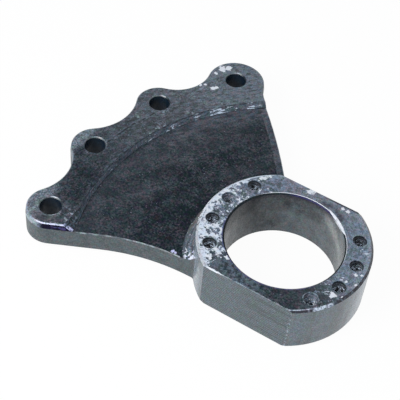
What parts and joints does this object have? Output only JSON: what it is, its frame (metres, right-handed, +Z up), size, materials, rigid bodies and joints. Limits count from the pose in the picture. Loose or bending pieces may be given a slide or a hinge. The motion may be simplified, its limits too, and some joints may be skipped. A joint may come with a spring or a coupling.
{
  "type": "forklift drive axle bracket",
  "caption": "Cast bracket: a thick bored ring with milled flats and tapped holes, and a flat fan-shaped web that ends in bolt lugs.",
  "frame": {"origin": "on the axis of the main bore, at the ring's underside", "axes": "+Z up along the bore, towards the face with the tapped holes; +X along the milled flats, away from the web"},
  "size_m": [0.2959, 0.2781, 0.049],
  "materials": {
    "casting": "black paint over an iron casting, satin, worn to bright metal at edges"
  },
  "bodies": {
    "root": {"bracket": "casting"}
  },
  "joints": []
}
